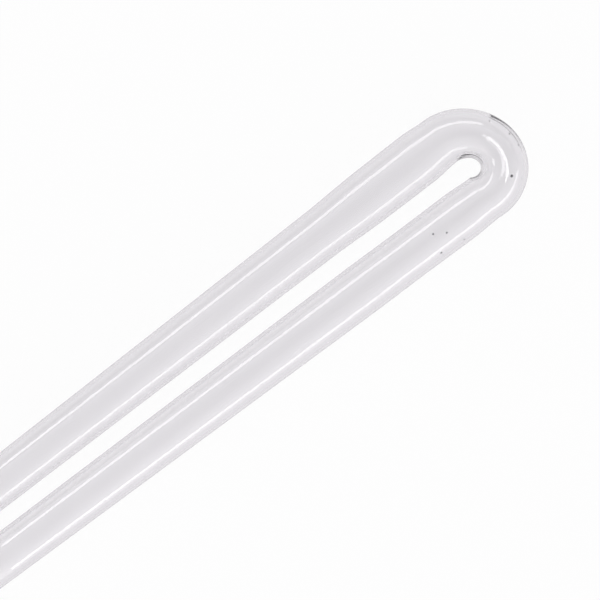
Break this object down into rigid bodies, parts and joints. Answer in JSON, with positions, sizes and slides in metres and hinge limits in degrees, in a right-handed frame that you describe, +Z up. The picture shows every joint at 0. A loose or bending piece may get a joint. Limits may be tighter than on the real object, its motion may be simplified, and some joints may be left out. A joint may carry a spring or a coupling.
{
  "type": "uv germicidal lamp",
  "caption": "Clear quartz germicidal lamp: a slim discharge tube bent to a U, pinch-sealed and cemented into a ceramic base with a row of contact pins.",
  "frame": {"origin": "bottom centre of the bounding box, on the surface that the lamp lies on", "axes": "+X along the legs towards the bend, +Y across the two legs, +Z up"},
  "size_m": [0.4166, 0.0434, 0.0221],
  "materials": {
    "quartz": "clear, polished by fire",
    "mercury": "liquid metal",
    "coil": "coated tungsten",
    "wire": "drawn wire",
    "foil": "rolled foil",
    "ceramic": "unglazed, matte",
    "cement": "rough",
    "pin": "nickel-plated"
  },
  "bodies": {
    "root": {"base_cement_a": "cement", "base_cement_b": "cement", "base_housing": "ceramic", "contact_pin_a1": "pin", "contact_pin_a2": "pin", "contact_pin_b1": "pin", "contact_pin_b2": "pin", "discharge_tube": "quartz", "electrode_coil_a": "coil", "electrode_coil_b": "coil", "inner_lead_a1": "wire", "inner_lead_a2": "wire", "inner_lead_b1": "wire", "inner_lead_b2": "wire", "mercury_beads": "mercury", "outer_lead_a1": "wire", "outer_lead_a2": "wire", "outer_lead_b1": "wire", "outer_lead_b2": "wire", "seal_foil_a1": "foil", "seal_foil_a2": "foil", "seal_foil_b1": "foil", "seal_foil_b2": "foil"}
  },
  "joints": []
}
